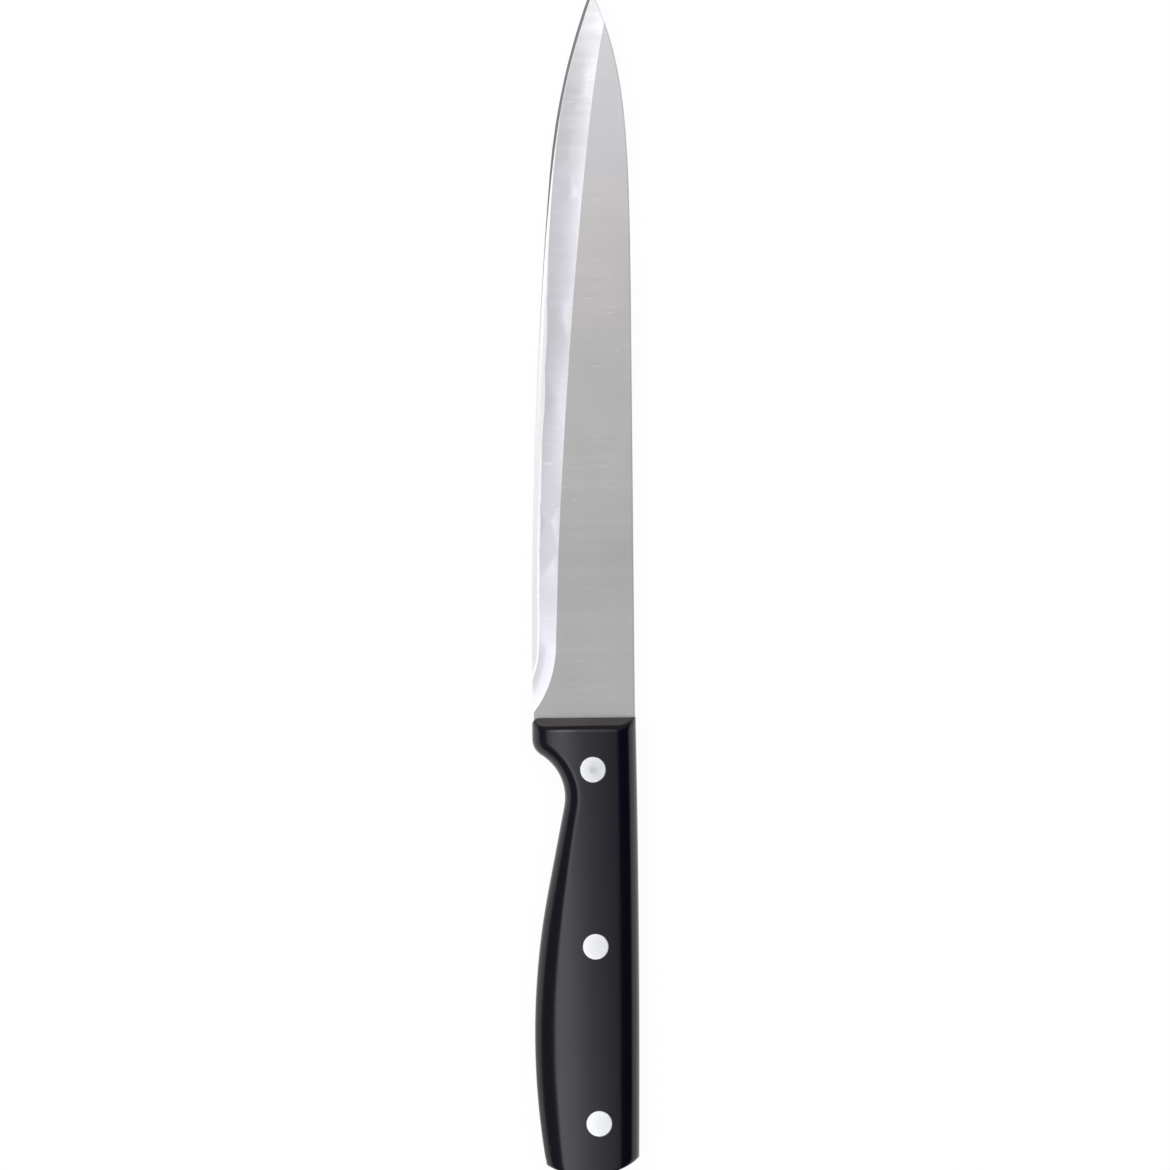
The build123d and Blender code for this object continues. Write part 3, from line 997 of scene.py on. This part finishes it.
# The room, by its direction from the knife: where its parts end or start, and how bright they are
LEFT_ENDS, HORIZON_ENDS = (-0.25, 0.25), (0.08, 0.17)
AHEAD_STARTS, ENDS_START = (0.75, 0.95), (0.35, 0.70)
DARK, LEFT_GLOOM, ENDS_GLOOM = 0.010, 0.17, 0.25
HORIZON_SHINE, AHEAD_SHINE, RIGHT_LIFT = 0.95, 1.40, 0.06
PLAIN_WHITE, WARM_WHITE = (1.0, 1.0, 1.0, 1.0), (1.0, 0.90, 0.84, 1.0)

SENSOR_WIDTH, FARTHEST = 36.0, 20.0


def lamp(name, place, size, shine):
    """A flat lamp that faces down and gives this brightness to every direction."""
    data = bpy.data.lights.new(name, "AREA")
    data.shape = "RECTANGLE"
    data.size, data.size_y = size
    data.energy = shine * pi * size[0] * size[1]
    made = new_piece(name, data)
    made.location = place
    made.visible_camera = False
    return made


def hang_panel(stage):
    """Hang the wide softbox, brightest along its left border and beyond the tip."""
    size = (stage.panel_left + stage.panel_right, stage.panel_length)
    place = ((stage.panel_right - stage.panel_left) / 2, 0.0, stage.panel_height)
    light = Finish(lamp("light_panel", place, size, stage.panel_shine).data)
    across, along, _ = light.axes(light.node("ShaderNodeNewGeometry").value("Parametric"))
    butt, handle, blade = [light.ramp(greys, across) for greys in (OVER_BUTT, OVER_HANDLE, OVER_BLADE)]
    shade = light.blend(along.step(*HANDLE_SHOWS), butt, handle)
    shade = light.blend(along.step(*BLADE_SHOWS), shade, blade)
    shade = light.shaded(shade, 1.0 + along.step(*TIP_BRIGHTENS) * stage.tip_shine)
    light.end("Light", "Emission", {"Color": shade})


def light_room():
    """Make the world a dark room with a pale horizon, less dark on the left and at the ends."""
    bpy.context.scene.world = bpy.data.worlds.new("studio_room")
    room = Finish(bpy.context.scene.world)
    across, along, up = room.axes(room.node("ShaderNodeTexCoord").value("Generated"))
    left = 1 - across.step(*LEFT_ENDS)
    low = 1 - (up + (1 - left) * RIGHT_LIFT).step(*HORIZON_ENDS)
    ahead = along.step(*AHEAD_STARTS)
    gloom = DARK + (left * LEFT_GLOOM).largest(abs(along).step(*ENDS_START) * ENDS_GLOOM)
    seen = room.node("ShaderNodeLightPath").value("Is Camera Ray")
    shine = (gloom + low * (HORIZON_SHINE + ahead * AHEAD_SHINE - gloom)).largest(seen)
    warmth = room.blend(ahead * (1 - seen), PLAIN_WHITE, WARM_WHITE)
    room.end("World", "Background", {"Color": warmth, "Strength": shine})


def aimed_camera(stage):
    """The camera, straight over the knife."""
    data = bpy.data.cameras.new("camera")
    data.sensor_width = SENSOR_WIDTH
    data.lens = SENSOR_WIDTH * (stage.camera_height - HIGH.z / 2) / stage.frame_width
    data.clip_end = FARTHEST
    camera = new_piece("camera", data)
    camera.location = (stage.camera_x, stage.camera_y, stage.camera_height)
    camera.rotation_euler = (0.0, 0.0, stage.camera_roll)
    return camera


# Operators


class KNIFE_OT_blade(bpy.types.Operator):
    """Give the blade its ground and whetted steel"""

    bl_idname = "knife.blade"
    bl_label = "Finish Blade"

    def execute(self, context):
        """Put the steel on the frame's own blade."""
        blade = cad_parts["blade"]
        blade.data.materials.clear()
        blade.data.materials.append(ground_steel(context.scene.knife_steel))
        return {"FINISHED"}


class KNIFE_OT_scales(bpy.types.Operator):
    """Make the two moulded scales"""

    bl_idname = "knife.scales"
    bl_label = "Make Scales"

    def execute(self, context):
        """Make the left scale, mirror it, and let both stand for the frame's scales."""
        scales = context.scene.knife_scales
        left = scale_mesh(scales)
        left.materials.clear()
        left.materials.append(moulded_plastic(scales))
        for name, mesh in (("left", left), ("right", turned_over(left))):
            smooth(mesh, SCALE_CREASE)
            piece = new_piece(f"moulded_scale_{name}", mesh)
            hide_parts(f"scale_{name}")
            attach(piece, "root")
        return {"FINISHED"}


class KNIFE_OT_rivets(bpy.types.Operator):
    """Make the heads and barrels of the three rivets on both sides"""

    bl_idname = "knife.rivets"
    bl_label = "Make Rivets"

    def execute(self, context):
        """Make one side's halves with Geometry Nodes, then the other side's by mirroring."""
        female = rivet_halves(turned_metal(context.scene.knife_rivets))
        for side, half, mesh in (("left", "female", female), ("right", "male", turned_over(female))):
            smooth(mesh, RIVET_CREASE)
            piece = new_piece(f"rivet_halves_{side}", mesh)
            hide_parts(*[f"rivet_{name}_{half}" for name in RIVETS])
            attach(piece, "root")
        return {"FINISHED"}


class KNIFE_OT_stage(bpy.types.Operator):
    """Set the floor, the lights and the camera"""

    bl_idname = "knife.stage"
    bl_label = "Set Stage"

    def execute(self, context):
        """Lay the floor, hang the softboxes and aim the camera straight down."""
        stage = context.scene.knife_stage
        half = stage.floor_size / 2
        corners = [(x * half, y * half, LOW.z) for x, y in ((-1, -1), (1, -1), (1, 1), (-1, 1))]
        mesh = bpy.data.meshes.new("floor")
        mesh.from_pydata(corners, [], [(0, 1, 2, 3)])
        mesh.materials.append(white_floor(stage))
        new_piece("floor", mesh)
        light_room()
        hang_panel(stage)
        place, size = (0.0, 0.0, stage.fill_height), (stage.fill_size, stage.fill_size)
        lamp("dull_fill", place, size, stage.fill).visible_glossy = False
        context.scene.camera = aimed_camera(stage)
        context.scene.view_settings.view_transform = "Standard"
        return {"FINISHED"}


class KNIFE_PT_panel(bpy.types.Panel):
    """The knife's pieces and stage"""

    bl_label = "Carving Knife"
    bl_space_type = "VIEW_3D"
    bl_region_type = "UI"
    bl_category = "Carving Knife"

    def draw(self, context):
        """List each step with its settings under it."""
        for operator, name, _ in STEPS:
            box = self.layout.box()
            box.operator(operator.bl_idname)
            settings = getattr(context.scene, name)
            for setting in settings.bl_rna.properties.keys():
                if setting not in ("rna_type", "name"):
                    box.prop(settings, setting)


# Each step's operator, and the name and kind of its settings on the scene
STEPS = (
    (KNIFE_OT_blade, "knife_steel", KNIFE_PG_steel),
    (KNIFE_OT_scales, "knife_scales", KNIFE_PG_scales),
    (KNIFE_OT_rivets, "knife_rivets", KNIFE_PG_rivets),
    (KNIFE_OT_stage, "knife_stage", KNIFE_PG_stage),
)


def register():
    """Register the settings, the operators and the panel."""
    for operator, name, group in STEPS:
        bpy.utils.register_class(group)
        setattr(bpy.types.Scene, name, PointerProperty(type=group))
        bpy.utils.register_class(operator)
    bpy.utils.register_class(KNIFE_PT_panel)


def unregister():
    """Take the panel, the operators and the settings away again."""
    bpy.utils.unregister_class(KNIFE_PT_panel)
    for operator, name, group in reversed(STEPS):
        bpy.utils.unregister_class(operator)
        delattr(bpy.types.Scene, name)
        bpy.utils.unregister_class(group)


def main():
    """Dress and stage the knife."""
    register()
    bpy.ops.knife.blade()
    bpy.ops.knife.scales()
    bpy.ops.knife.rivets()
    bpy.ops.knife.stage()
    bpy.context.view_layer.update()


if __name__ == "__main__":
    main()
